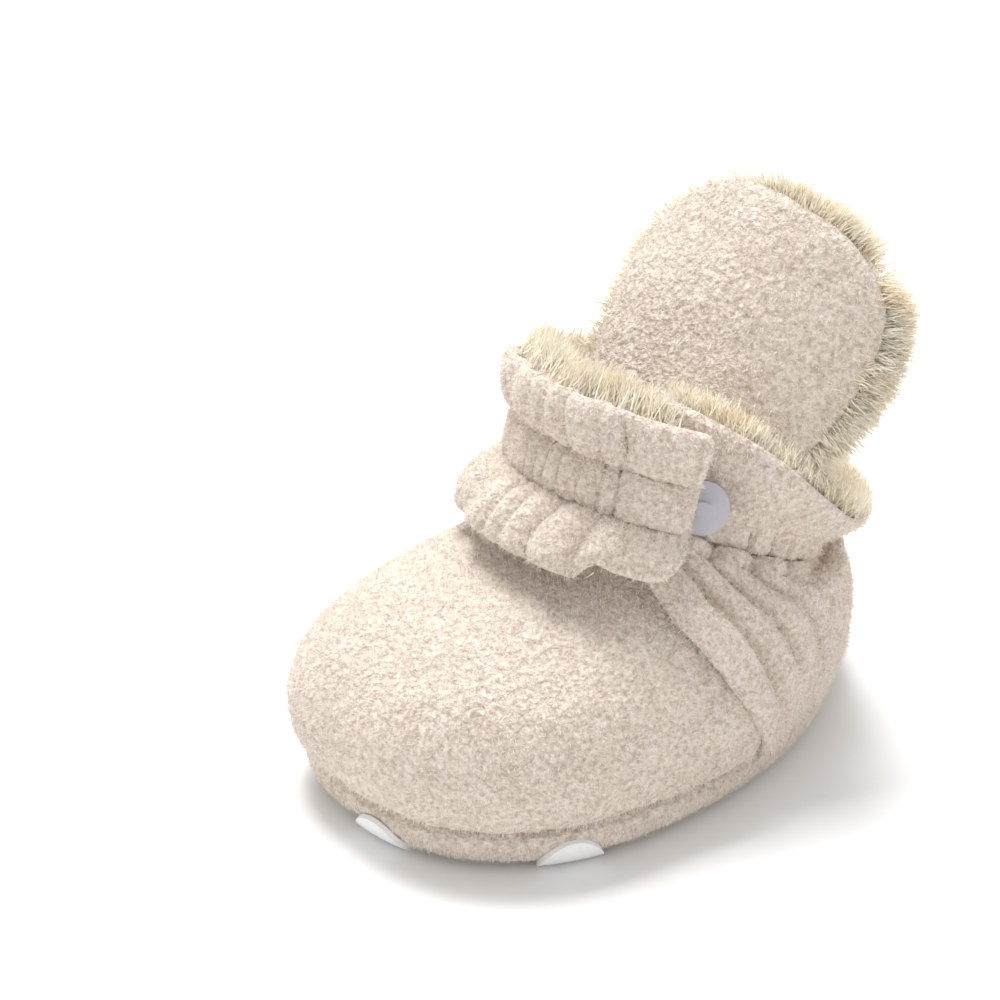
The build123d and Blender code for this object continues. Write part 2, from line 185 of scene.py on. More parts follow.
def pad(name, base, out, inn, edge, material, rough=0.22):
    """Closed sheet on a grid of points, rounded along its edges. Returns it with its two faces."""
    n = normals(base)
    k = np.clip(edge_distance(base) / edge, 0, 1)
    s = np.sqrt(1 - (1 - k) ** 2)
    front = base + n * ((out + nub(base, rough)) * s)[..., None]
    back = base - n * (inn * s)[..., None]
    nu, nv = s.shape
    front_id = np.arange(nu * nv).reshape(nu, nv)
    back_id = front_id.copy()
    back_id[1:-1, 1:-1] = nu * nv + np.arange((nu - 2) * (nv - 2)).reshape(nu - 2, nv - 2)
    points = np.concatenate([front.reshape(-1, 3), back[1:-1, 1:-1].reshape(-1, 3)])
    a = front_id
    b = back_id
    over = np.stack([a[:-1, :-1], a[1:, :-1], a[1:, 1:], a[:-1, 1:]], -1).reshape(-1, 4)
    under = np.stack([b[:-1, :-1], b[:-1, 1:], b[1:, 1:], b[1:, :-1]], -1).reshape(-1, 4)
    thing = build(name, points, np.concatenate([over, under]).tolist(), material)
    return thing, (front, normals(front)), (back, -normals(back))


def disc(name, place, outline, out, inn, edge, material, pitch=1.2, rough=0.22):
    """Closed pad with any rounded outline, on the surface place(a, b)."""
    middle = outline.mean(axis=0)
    size = np.linalg.norm(outline - middle, axis=1)
    rings = spaced(2 * size.mean(), pitch, edge)
    rings = (rings[rings >= 0.5] - 0.5) * 2
    rings[0] = max(rings[0], 0.02)
    flat = middle + rings[:, None, None] * (outline - middle)[None]
    a, b = flat[..., 0], flat[..., 1]
    base = place(a, b)
    n = unit(np.cross(place(a + 0.1, b) - place(a - 0.1, b), place(a, b + 0.1) - place(a, b - 0.1)))
    k = np.clip((1 - rings)[:, None] * size[None] / edge, 0, 1)
    s = np.sqrt(1 - (1 - k) ** 2)
    if callable(out):
        out = out(a, b)
    front = base + n * ((out + nub(base, rough)) * s)[..., None]
    back = base - n * (inn * s)[..., None]
    nr, na = s.shape
    fid = np.arange(nr * na).reshape(nr, na)
    bid = nr * na + np.arange(nr * na).reshape(nr, na)
    bid[-1] = fid[-1]
    points = np.concatenate([front.reshape(-1, 3), back[:-1].reshape(-1, 3),
                             front[0].mean(axis=0)[None], back[0].mean(axis=0)[None]])
    tops = nr * na + (nr - 1) * na
    faces = []
    for ids, centre, turn in ((fid, tops, 1), (bid, tops + 1, -1)):
        nxt = np.roll(ids, -1, axis=1)
        quads = np.stack([ids[:-1], ids[1:], nxt[1:], nxt[:-1]], -1).reshape(-1, 4)
        faces += quads[:, ::turn].tolist()
        fan = np.stack([np.full(na, centre), ids[0], nxt[0]], -1)
        faces += fan[:, ::turn].tolist()
    thing = build(name, points, faces, material)
    return thing, (front, n), (back, -n)


def scatter(face, count, keep=None):
    """Random places on a grid surface, even by area: positions and directions."""
    grid, n = face
    a = grid[1:, :-1] - grid[:-1, :-1]
    b = grid[:-1, 1:] - grid[:-1, :-1]
    area = np.linalg.norm(np.cross(a, b), axis=-1)
    if keep is not None:
        area = area * keep(grid[:-1, :-1])
    chance = np.cumsum(area.ravel())
    pick = np.searchsorted(chance, RNG.random(count) * chance[-1])
    i, j = np.unravel_index(np.minimum(pick, area.size - 1), area.shape)
    s = RNG.random((count, 1))
    t = RNG.random((count, 1))
    root = grid[i, j] + s * a[i, j] + t * b[i, j]
    return root, n[i, j]


def strands(name, root, tip, side, material, bend=None):
    """Tapered hairs, each a narrow blade of three faces."""
    middle = root * 0.45 + tip * 0.55
    if bend is not None:
        middle = middle + bend
    count = len(root)
    points = np.stack([root - side, root + side, middle + 0.7 * side, middle - 0.7 * side, tip], axis=1)
    start = 5 * np.arange(count)[:, None]
    corners = [start + [0, 1, 2], start + [0, 2, 3], start + [3, 2, 4]]
    tris = np.concatenate(corners, axis=1).reshape(-1, 3)
    mesh = bpy.data.meshes.new(name)
    mesh.vertices.add(5 * count)
    mesh.vertices.foreach_set("co", (points * MM).astype(np.float32).ravel())
    mesh.loops.add(tris.size)
    mesh.loops.foreach_set("vertex_index", tris.astype(np.int32).ravel())
    mesh.polygons.add(len(tris))
    mesh.polygons.foreach_set("loop_start", np.arange(0, tris.size, 3, dtype=np.int32))
    mesh.update(calc_edges=True)
    mesh.polygons.foreach_set("use_smooth", np.ones(len(tris), bool))
    thing = bpy.data.objects.new(name, mesh)
    bpy.context.collection.objects.link(thing)
    mesh.materials.append(material)
    return thing


def fuzz(name, face, density, material, length=(0.7, 1.5), keep=None):
    """Short brushed fibres over a fleece face."""
    grid = face[0]
    a = np.linalg.norm(np.cross(grid[1:, :-1] - grid[:-1, :-1], grid[:-1, 1:] - grid[:-1, :-1]), axis=-1)
    count = min(int(a.sum() * density), 60000)
    root, n = scatter(face, count, keep)
    wild = RNG.normal(size=(count, 3))
    along = unit(n * 0.75 + wild * 0.42)
    size = RNG.uniform(*length, size=(count, 1))
    side = unit(np.cross(along, wild)) * RNG.uniform(0.035, 0.06, size=(count, 1))
    bend = RNG.normal(size=(count, 3)) * 0.14
    return strands(name, root - n * 0.1, root + along * size, side, material, bend)


def fur(name, face, clumps, per, length, lean, material, keep=None, spread=1.1, wild=0.34):
    """Long plush pile in clumps, each clump's hairs drawn together towards the tip."""
    root, n = scatter(face, clumps, keep)
    lean = lean(root, n) if callable(lean) else np.broadcast_to(np.asarray(lean, float), root.shape)
    way = unit(n + lean + RNG.normal(size=root.shape) * wild)
    size = RNG.uniform(*length, size=(clumps, 1))
    reach = root + way * size
    r = np.repeat(root, per, axis=0)
    nn = np.repeat(n, per, axis=0)
    jitter = RNG.normal(size=r.shape) * spread
    jitter -= nn * np.sum(jitter * nn, axis=1, keepdims=True)
    r = r + jitter
    tip = np.repeat(reach, per, axis=0) + jitter * 0.35 + RNG.normal(size=r.shape) * 0.35
    tip = r + (tip - r) * RNG.uniform(0.65, 1.08, size=(len(r), 1))
    across = unit(np.cross(tip - r, RNG.normal(size=r.shape)))
    side = across * RNG.uniform(0.07, 0.13, size=(len(r), 1))
    bend = nn * size.repeat(per, axis=0) * 0.12
    return strands(name, r - nn * 0.3, tip, side, material, bend)


# ---- materials -----------------------------------------------------------------------------------
def material(name, rough, sheen=0.0, specular=0.3):
    """New material with its constants set on the shader itself."""
    made = bpy.data.materials.new(name)
    made.use_nodes = True
    shader = made.node_tree.nodes["Principled BSDF"]
    shader.inputs["Roughness"].default_value = rough
    shader.inputs["Sheen Weight"].default_value = sheen
    shader.inputs["Sheen Roughness"].default_value = 0.45
    shader.inputs["Specular IOR Level"].default_value = specular
    return made, made.node_tree, shader


def noise_node(tree, scale, detail=2.0, kind="ShaderNodeTexNoise"):
    """Noise on the piece's own coordinates, in features per metre."""
    coords = tree.nodes.new("ShaderNodeTexCoord")
    node = tree.nodes.new(kind)
    tree.links.new(coords.outputs["Object"], node.inputs["Vector"])
    node.inputs["Scale"].default_value = scale
    if "Detail" in node.inputs:
        node.inputs["Detail"].default_value = detail
    return node


def ramp(tree, source, stops):
    """Colour ramp over a value."""
    node = tree.nodes.new("ShaderNodeValToRGB")
    tree.links.new(source, node.inputs["Fac"])
    points = node.color_ramp.elements
    points[0].position, points[0].color = stops[0][0], (*stops[0][1], 1)
    points[1].position, points[1].color = stops[-1][0], (*stops[-1][1], 1)
    for place, colour in stops[1:-1]:
        points.new(place).color = (*colour, 1)
    return node


def mix(tree, kind, amount, a, b):
    """Mix of two colours."""
    node = tree.nodes.new("ShaderNodeMix")
    node.data_type = "RGBA"
    node.blend_type = kind
    node.inputs["Factor"].default_value = amount
    tree.links.new(a, node.inputs["A"])
    tree.links.new(b, node.inputs["B"])
    return node.outputs["Result"]


def bumped(tree, shader, height, strength, distance):
    """Bump from a height."""
    node = tree.nodes.new("ShaderNodeBump")
    node.inputs["Strength"].default_value = strength
    node.inputs["Distance"].default_value = distance
    tree.links.new(height, node.inputs["Height"])
    tree.links.new(node.outputs["Normal"], shader.inputs["Normal"])


def fleece_material(name, light, dark, strength=0.55):
    """Brushed polar fleece: pebbled pile, heathered colour, painted shade in the pile's hollows and
    between the nubs.
    """
    made, tree, shader = material(name, 0.95, 0.35, 0.15)
    shader.inputs["Sheen Tint"].default_value = (1.0, 0.95, 0.88, 1)
    pile = noise_node(tree, 980, 4.0)
    pile.inputs["Roughness"].default_value = 0.62
    mottle = noise_node(tree, 150, 3.0)
    cells = noise_node(tree, 820, 2.0, "ShaderNodeTexVoronoi")
    cells.feature = "SMOOTH_F1"
    between = tuple(0.5 * (a + b) for a, b in zip(light, dark))
    # painted shade and light: the pile's colour follows its bump, dark in the hollows and light on the
    # nub tops
    colour = ramp(tree, pile.outputs["Fac"], [(0.33, dark), (0.46, between), (0.60, light)])
    patchy = ramp(tree, mottle.outputs["Fac"], [(0.35, (0.95, 0.94, 0.93)), (0.62, (1.0, 1.0, 1.0))])
    # painted shade: darker towards the edges of the cells, in the creases between the nubs
    painted_crevice_shade = ramp(tree, cells.outputs["Distance"], [(0.25, (1.0, 1.0, 1.0)), (0.85, (0.80, 0.77, 0.74))])
    both = mix(tree, "MULTIPLY", 1.0, colour.outputs["Color"], patchy.outputs["Color"])
    both = mix(tree, "MULTIPLY", 0.8, both, painted_crevice_shade.outputs["Color"])
    tree.links.new(both, shader.inputs["Base Color"])
    height = tree.nodes.new("ShaderNodeMath")
    height.operation = "SUBTRACT"
    tree.links.new(pile.outputs["Fac"], height.inputs[0])
    tree.links.new(cells.outputs["Distance"], height.inputs[1])
    bumped(tree, shader, height.outputs["Value"], strength, 0.0014)
    return made


def plush_material(name, light, dark):
    """Long cream pile."""
    made, tree, shader = material(name, 0.8, 0.2, 0.15)
    shader.inputs["Sheen Tint"].default_value = (1.0, 0.95, 0.82, 1)
    tuft = noise_node(tree, 170, 3.0)
    fine = noise_node(tree, 900, 2.0)
    colour = ramp(tree, tuft.outputs["Fac"], [(0.32, dark), (0.60, light)])
    # painted shade: the fine noise that makes the bump also darkens the colour in its dips
    shade = ramp(tree, fine.outputs["Fac"], [(0.30, (0.94, 0.92, 0.88)), (0.60, (1.0, 1.0, 1.0))])
    tree.links.new(mix(tree, "MULTIPLY", 0.9, colour.outputs["Color"], shade.outputs["Color"]),
                   shader.inputs["Base Color"])
    bumped(tree, shader, fine.outputs["Fac"], 0.5, 0.0008)
    return made


def plain_material(name, colour, rough, speckle, scale, strength, specular=0.4):
    """Moulded or woven material with a fine grain."""
    made, tree, shader = material(name, rough, 0.0, specular)
    grain = noise_node(tree, scale, 3.0)
    darker = tuple(c * (1 - speckle) for c in colour)
    tone = ramp(tree, grain.outputs["Fac"], [(0.35, darker), (0.65, colour)])
    tree.links.new(tone.outputs["Color"], shader.inputs["Base Color"])
    bumped(tree, shader, grain.outputs["Fac"], strength, 0.0003)
    return made


# the second colour is the painted shade in the fleece's hollows
FLEECE = fleece_material("fleece", (0.95, 0.865, 0.785), (0.63, 0.535, 0.455))
FLEECE_FUZZ = plush_material("fleece_fibres", (0.97, 0.90, 0.83), (0.88, 0.79, 0.71))
PLUSH = plush_material("plush_pile", (1.0, 0.95, 0.84), (1.0, 0.90, 0.73))
GRIP = plain_material("grip", (0.90, 0.90, 0.89), 0.55, 0.06, 1400, 0.25)
THREAD = plain_material("thread", (0.50, 0.38, 0.28), 0.8, 0.35, 2600, 0.6, 0.2)
ELASTIC = plain_material("elastic_band", (0.82, 0.80, 0.75), 0.8, 0.25, 1500, 0.7, 0.2)
FOAM = plain_material("foam", (0.84, 0.81, 0.74), 0.9, 0.2, 900, 0.8, 0.1)
SNAP = plain_material("snap_plastic", (0.80, 0.78, 0.86), 0.28, 0.04, 500, 0.12, 0.5)
for socket, value in (("Transmission Weight", 0.35), ("IOR", 1.49),
                      ("Subsurface Weight", 0.3), ("Subsurface Scale", 0.002)):
    SNAP.node_tree.nodes["Principled BSDF"].inputs[socket].default_value = value


def ride(thing, body, slot_name, *nodes):
    """Fix a piece to a body and hide the frame parts that it stands for."""
    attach(thing, body)
    if nodes:
        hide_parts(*nodes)
    return thing


# ---- foot forms ----------------------------------------------------------------------------------
def outline(angle, toe, heel, half_toe, half_heel, square=2.6, bend=-5.0):
    """Foot outline at an angle (0 = toe, positive towards +X): boxy toe, round heel."""
    middle = toe + 0.42 * (heel - toe)
    c = np.cos(angle)
    s = np.sin(angle)
    power = np.where(c > 0, square, 2.1)
    rho = (np.abs(s) ** power + np.abs(c) ** power) ** (-1 / power)
    y = middle - np.where(c > 0, middle - toe, heel - middle) * rho * c
    half = half_toe + (half_heel - half_toe) * (y - toe) / (heel - toe)
    return half * rho * s + bend * ((y - middle) / 50.0) ** 2, y


def foot_loop(angle, z_toe, z_heel, toe, heel, half_toe, half_heel, inset=0.0, square=2.6, bend=-5.0):
    """Foot outline in a plane that rises from heel to toe."""
    x, y = outline(angle, toe + inset, heel - inset, half_toe - inset, half_heel - inset, square, bend)
    return np.stack([x, y, z_toe + (z_heel - z_toe) * (y - toe) / (heel - toe)], -1)


def loft(loops, v):
    """Smooth surface through loops of points; v from 0 to 1 by mean distance."""
    loops = np.array(loops)
    gap = np.linalg.norm(np.diff(loops, axis=0), axis=-1).mean(axis=1)
    knots = np.concatenate([[0], np.cumsum(gap)]) / gap.sum()
    slope = np.gradient(loops, knots, axis=0)
    i = np.clip(np.searchsorted(knots, v) - 1, 0, len(knots) - 2)
    h = knots[i + 1] - knots[i]
    t = (v - knots[i]) / h
    col = np.arange(loops.shape[1])[:, None] + 0 * i
    h = h[..., None]
    t = t[..., None]
    p = (1 + 2 * t) * (1 - t) ** 2 * loops[i, col] + t * (1 - t) ** 2 * h * slope[i, col]
    return p + t * t * (3 - 2 * t) * loops[i + 1, col] + t * t * (t - 1) * h * slope[i + 1, col]


def vamp_loops(angle, inset=0.0):
    """Toe dome from the sole seam up into the throat behind the strap."""
    bearing = np.degrees(angle)
    radius = 24.0 - inset * 0.72
    return [
        foot_loop(angle, 8.6, 8.6, -58.4, 58, 34.6, 31, inset),
        foot_loop(angle, 11.2, 11.2, -61.6, 59.4, 37.4, 33.4, inset),
        foot_loop(angle, 15.5, 15.0, -63.0, 60, 38.8, 34.3, inset),
        foot_loop(angle, 22.0, 19.5, -62.4, 60, 38.8, 34.3, inset),
        foot_loop(angle, 29.5, 24.5, -57.4, 58, 37.0, 33.2, inset),
        foot_loop(angle, 35.5, 28.5, -48.0, 54, 34.0, 31.4, inset, 2.5),
        foot_loop(angle, 40.5, 31.5, -34.5, 49, 30.2, 29.6, inset, 2.4, -3.5),
        foot_loop(angle, 45.0, 33.5, -21.5, 44, 26.4, 26.6, inset * 0.85, 2.2, -2.5),
        ring(ANKLE_CENTRE, ANKLE_LEAN, bearing, radius, -2.0),
        ring(ANKLE_CENTRE, ANKLE_LEAN, bearing, radius, 6.0),
        ring(ANKLE_CENTRE, ANKLE_LEAN, bearing, radius, 13.0),
    ]


def vamp_grid(pitch, inset, reach):
    """Grid over the toe dome; the sides stop lower than the throat."""
    angle = np.radians(-reach + 2 * reach * spaced(210.0, pitch, 2.0))
    v = spaced(104.0, pitch, 2.0)
    top = 1.0 - 0.34 * step(40, 78, np.abs(np.degrees(angle)))
    return loft(vamp_loops(angle, inset), top[:, None] * v[None])


def quarter_loops(angle, inset=0.0):
    """Heel cup from the sole seam to the ankle elastic."""
    bearing = np.degrees(angle)
    radius = 30.0 - inset * 0.75
    return [
        foot_loop(angle, 8.6, 8.6, -59, 57.2, 35.4, 31.6, inset),
        foot_loop(angle, 11.2, 11.2, -62, 59.8, 38.0, 34.0, inset),
        foot_loop(angle, 15.5, 15.0, -63.2, 60.6, 39.2, 35.0, inset),
        foot_loop(angle, 22.0, 19.5, -63.6, 60.6, 39.6, 35.2, inset),
        foot_loop(angle, 30.0, 24.5, -59, 58.6, 38.0, 34.2, inset),
        foot_loop(angle, 36.5, 28.5, -49.5, 54.6, 35.4, 32.4, inset),
        foot_loop(angle, 41.0, 31.0, -30, 50.4, 32.4, 31.4, inset, 2.3, -3.5),
        ring(ANKLE_CENTRE, ANKLE_LEAN, bearing, radius, -5.0),
        ring(ANKLE_CENTRE, ANKLE_LEAN, bearing, radius - 1.2, -2.2),
    ]


def quarter_grid(pitch, inset, back=0.0):
    """Grid over the heel cup, between its two slanted front edges."""
    v = spaced(52.0, pitch, 2.0)
    dense = np.radians(np.linspace(30, 330, 900))
    rows = loft(quarter_loops(dense, inset), np.broadcast_to(v, (len(dense), len(v))))
    seam = np.interp(rows[..., 2], [9.0, 40.0, 62.0], [7.0, -10.0, -11.6]) + back
    behind = rows[..., 1] > seam
    first = behind.argmax(axis=0)
    last = len(dense) - 1 - behind[::-1].argmax(axis=0)
    u = spaced(190.0, pitch, 2.0)
    pick = first + (last - first) * u[:, None]
    lower = np.clip(pick.astype(int), 0, len(dense) - 2)
    part = (pick - lower)[..., None]
    col = np.arange(len(v))[None] + 0 * lower
    return rows[lower, col] * (1 - part) + rows[lower + 1, col] * part


# ---- sole ----------------------------------------------------------------------------------------
def loop_2d(inset, count=220):
    """Outline of the sole, drawn in by inset."""
    angle = -np.linspace(0, 2 * math.pi, count, endpoint=False)
    x, y = outline(angle, -60 + inset, 58 - inset, 36.3 - inset, 32.5 - inset)
    return np.stack([x, y], -1)


def level_plane(height):
    """Flat surface at one height."""
    return lambda x, y: np.stack([x, y, np.full(np.shape(x), float(height))], -1)


def away_from_patches(points):
    """1 where there is no grip patch, 0 on one."""
    near = np.full(points.shape[:-1], 99.0)
    for x, y in PATCHES:
        near = np.minimum(near, np.linalg.norm(points - np.array([x, y, 0.5]), axis=-1))
    return (near > 6.6).astype(float)


sole, _, sole_under = disc("sole_skin", level_plane(6.3), loop_2d(0.0), 2.5, 5.45, 5.5, FLEECE, 1.3)
ride(sole, "shoe", "fleece", "sole_cover")
sole_fuzz = fuzz("sole_fibres", sole_under, 2.6, FLEECE_FUZZ, (0.5, 1.0),
                 lambda p: away_from_patches(p) * (p[..., 2] > 2.0))
ride(sole_fuzz, "shoe", "fleece")
foam, _, _ = disc("sole_pad", level_plane(5.4), loop_2d(3.4), 1.6, 2.0, 2.5, FOAM, 4.0, 0.1)
ride(foam, "shoe", "foam", "sole_foam")
bed, bed_top, _ = disc("plush_footbed", level_plane(10.6), loop_2d(8.0), 2.4, 1.2, 2.5, PLUSH, 2.2, 0.5)
ride(bed, "shoe", "plush", "footbed")
ride(fur("footbed_pile", bed_top, 2200, 4, (2.5, 4.0), (0, 0, 0), PLUSH), "shoe", "plush")

# ---- toe dome ------------------------------------------------------------------------------------
vamp_base = vamp_grid(0.9, 1.2, 104.0)
hollow = np.exp(-((vamp_base[..., 0] - 22) ** 2 + (vamp_base[..., 1] + 24) ** 2) / 190.0)
vamp_base = vamp_base + normals(vamp_base) * (0.5 * noise(vamp_base, 18, 8) - 1.3 * hollow)[..., None]
vamp, vamp_face, _ = pad("toe_dome", vamp_base, 1.2, 0.9, 2.0, FLEECE)
ride(vamp, "shoe", "fleece", "vamp_outer")
ride(fuzz("toe_dome_fibres", vamp_face, 3.2, FLEECE_FUZZ), "shoe", "fleece")
lining_base = vamp_grid(2.4, 4.2, 100.0)
vamp_plush, _, vamp_inside = pad("toe_lining", lining_base, 0.8, 2.2, 2.2, PLUSH, 0.3)
ride(vamp_plush, "shoe", "plush", "vamp_lining")
ride(fur("toe_lining_pile", vamp_inside, 2600, 4, (2.5, 4.5), (0, 0, 0.1), PLUSH), "shoe", "plush")

# ---- heel cup ------------------------------------------------------------------------------------
heel_base = quarter_grid(0.9, 1.0)
run = np.linalg.norm(np.diff(heel_base, axis=0), axis=-1)
run = np.cumsum(np.pad(run, [(1, 0), (0, 0)]), axis=0)
height = np.linspace(0, 1, heel_base.shape[1])[None]
from_front = np.minimum(run, run[-1:] - run)
folds = lobes(from_front / (8.6 + 0.9 * noise(heel_base * [0, 0, 1], 15, 21)) + 0.10, 0.8)
folds_high = step(0.12, 0.62, height)
strength = folds_high * (4.0 * np.exp(-(from_front / 38.0) ** 2) + 1.1)
heel_base = heel_base + normals(heel_base) * ((folds - 0.45) * strength)[..., None]
heel_base = heel_base + normals(heel_base) * (1.0 * np.exp(-(from_front / 5.0) ** 2))[..., None]
heel, heel_face, _ = pad("heel_cup", heel_base, 1.2, 1.0, 2.0, FLEECE)
ride(heel, "shoe", "fleece", "heel_quarter_outer")
ride(fuzz("heel_cup_fibres", heel_face, 3.2, FLEECE_FUZZ), "shoe", "fleece")
heel_lining, _, heel_inside = pad("heel_lining", quarter_grid(2.4, 4.4, 1.0), 0.8, 2.4, 2.2, PLUSH, 0.3)
ride(heel_lining, "shoe", "plush", "heel_quarter_lining")
ride(fur("heel_lining_pile", heel_inside, 2600, 4, (2.5, 4.5), (0, 0, 0.2), PLUSH), "shoe", "plush")


# ---- cuff and wing -------------------------------------------------------------------------------
def cuff_point(bearing, level, inset):
    """Cuff surface: gathered waist, then a flare that opens to the back and outer side."""
    levels = [-3.0, -1.8, 2.5, 8, 14, 24, 36]
    radius = 29.5 - inset + curve(levels, [0, 0, 0, 3.2, 5.6, 7.6, 8.4], level)
    sx = curve(levels, [0, 0, 0, 1.9, 3.2, 4.2, 4.4], level)
    sy = curve(levels, [0, 0, 0, 3.2, 5.8, 8.0, 8.4], level)
    return ring(ANKLE_CENTRE, ANKLE_LEAN, bearing, radius, level, (sx, sy))


def cuff_edge(y):
    """Height of the cuff's top edge, falling from the toe side to the heel."""
    return curve([-40, -14, -3, 8, 20, 31, 46, 75], [84, 82, 77, 69, 57, 48.5, 43, 40], y)


def cuff_tops(bearing, inset):
    """Level where the cuff's falling top edge cuts each bearing."""
    level = np.linspace(0, 36, 240)
    p = cuff_point(bearing[:, None], level[None], inset)
    above = p[..., 2] > cuff_edge(p[..., 1])
    return np.where(above.any(axis=1), level[above.argmax(axis=1)], 36)


def cuff_grid(pitch, inset, start, end, short=0.0):
    """Grid over the cuff from the elastic to its top edge."""
    bearing = start + (end - start) * spaced((end - start) * 0.58, pitch, 2.0)
    top = cuff_tops(bearing, inset) - short
    top = np.convolve(np.pad(top, 6, "edge"), np.ones(13) / 13, "valid")
    v = spaced(22.0, pitch * 0.9, 2.0)
    level = -1.8 + (top[:, None] + 1.8) * v[None]
    return cuff_point(bearing[:, None] + 0 * level, level, inset), bearing[:, None], level


cuff_base, bearing, level = cuff_grid(0.8, 1.2, 17.0, 262.0)
ribs = lobes(bearing / 10.5 + 0.25 * np.sin(bearing / 17.0) + 0.1 * np.sin(level / 4.0), 0.7)
near_waist = np.exp(-((level - 0.5) / 5.0) ** 2) * step(60, 76, bearing)
soft = 0.7 * noise(cuff_base, 13, 31) * step(3, 9, level) * step(60, 80, bearing)
cuff_base = cuff_base + normals(cuff_base) * ((ribs - 0.55) * 1.5 * near_waist + soft)[..., None]
for place in STUD_BEARINGS:
    seat = ring(ANKLE_CENTRE, ANKLE_LEAN, place, STUD_SEAT, STUD_LEVEL)
    facing = unit(ring(ANKLE_CENTRE, ANKLE_LEAN, place, STUD_SEAT + 1.0, STUD_LEVEL) - seat)
    proud = (cuff_base - seat) @ facing
    aside = np.linalg.norm(cuff_base - seat - proud[..., None] * facing, axis=-1)
    sunk = (1 - step(5.6, 10.0, aside)) * (np.abs(proud) < 8) * np.maximum(proud + 1.45, 0)
    cuff_base = cuff_base - facing * sunk[..., None]
cuff, cuff_face, _ = pad("cuff_wing", cuff_base, 1.2, 0.9, 1.9, FLEECE)
ride(cuff, "shoe", "fleece", "cuff_outer")


def clear_of_studs(points):
    """1 away from the press studs."""
    near = np.full(points.shape[:-1], 99.0)
    for place in STUD_BEARINGS:
        stud = ring(ANKLE_CENTRE, ANKLE_LEAN, place, 30.0, STUD_LEVEL)
        near = np.minimum(near, np.linalg.norm(points - stud, axis=-1))
    return (near > 6.0).astype(float)


ride(fuzz("cuff_wing_fibres", cuff_face, 3.2, FLEECE_FUZZ, (0.7, 1.5), clear_of_studs), "shoe", "fleece")
plush_base, _, _ = cuff_grid(1.6, 4.0, 18.0, 261.0, -0.6)
cuff_plush, cuff_rim, cuff_inside = pad("cuff_lining_pile", plush_base, 0.9, 1.6, 1.6, PLUSH, 0.3)
ride(cuff_plush, "shoe", "plush", "cuff_lining")


def near_top(points):
    """More tufts near the cuff's top edge."""
    cut = cuff_edge(points[..., 1])
    return 0.35 + 2.5 * np.exp(-((cut - points[..., 2]) / 3.2) ** 2)


def only_rim(points):
    """Tufts in the last few millimetres under the top edge."""
    cut = cuff_edge(points[..., 1])
    return np.exp(-((cut - points[..., 2]) / 2.4) ** 2)


ride(fur("cuff_inner_tufts", cuff_inside, 5200, 5, (3.0, 5.5), (0, 0, 0.75), PLUSH, near_top),
     "shoe", "plush")
ride(fur("cuff_rim_tufts", cuff_rim, 900, 5, (2.5, 5.0), (0.1, 0.1, 1.9), PLUSH, only_rim),
     "shoe", "plush")


def band(name, centre, lean, radius, start, end, low, high, body, node):
    """Woven elastic band, ribbed along its length."""
    b = np.linspace(start, end, int(end - start))
    v = spaced(high - low, 0.6, 0.4)
    level = low + (high - low) * v[None]
    grid = ring(centre, lean, b[:, None] + 0 * level, radius + 0.12 * np.sin(level * 5.0), level)
    thing, _, _ = pad(name, grid, 0.3, 0.3, 0.35, ELASTIC, 0.03)
    ride(thing, body, "elastic", node)


band("ankle_band", ANKLE_CENTRE, ANKLE_LEAN, 27.2, 73, 258, -1.0, 2.7, "shoe", "ankle_elastic")
band("strap_band", STRAP_CENTRE, STRAP_LEAN, 29.2, -88.5, 17, -4.2, 4.2, "strap", "strap_elastic")


# ---- strap and tab -------------------------------------------------------------------------------
TAB_END = TAB_MIDDLE + math.degrees(math.atan(TAB_REACH / TAB_RADIUS))


def strap_radius(level):
    """Waist at the elastic, ruffle above, skirt that stands off the dome below."""
    levels = [-17, -16.0, -11, -5, 0, 5, 10, 15.5, 17]
    stand_off = [6.2, 6.0, 3.4, 0, 0, 0, 1.6, 2.4, 2.4]
    return STRAP_RADIUS + curve(levels, stand_off, level)


def strap_limits(bearing):
    """Lower and upper edge of the strap and its tab at each bearing, the tab's corners rounded."""
    past = TAB_RADIUS * np.tan(np.radians(bearing - TAB_MIDDLE))
    tab = step(22, 30, bearing)
    low = -16.2 + 2.9 * tab
    high = 15.2 - 0.3 * tab
    below, above = TAB_CORNERS
    x = np.clip(past - (TAB_REACH - below), 0, below)
    low = low + below - np.sqrt(below ** 2 - np.minimum(x, 6.45) ** 2)
    x = np.clip(past - (TAB_REACH - above), 0, above)
    high = high - above + np.sqrt(above ** 2 - np.minimum(x, 2.48) ** 2)
    return low, high


def strap_grid(pitch, inset, start, end, short=0.0):
    """Grid over the strap and tab."""
    bearing = start + (end - start) * spaced((end - start) * 0.56, pitch, 2.2)
    low, high = strap_limits(bearing)
    v = spaced(31.0, pitch, 2.2)
    level = (low + short)[:, None] + (high - low - 2 * short)[:, None] * v[None]
    b = bearing[:, None] + 0 * level
    return ring(STRAP_CENTRE, STRAP_LEAN, b, strap_radius(level) - inset, level), b, level


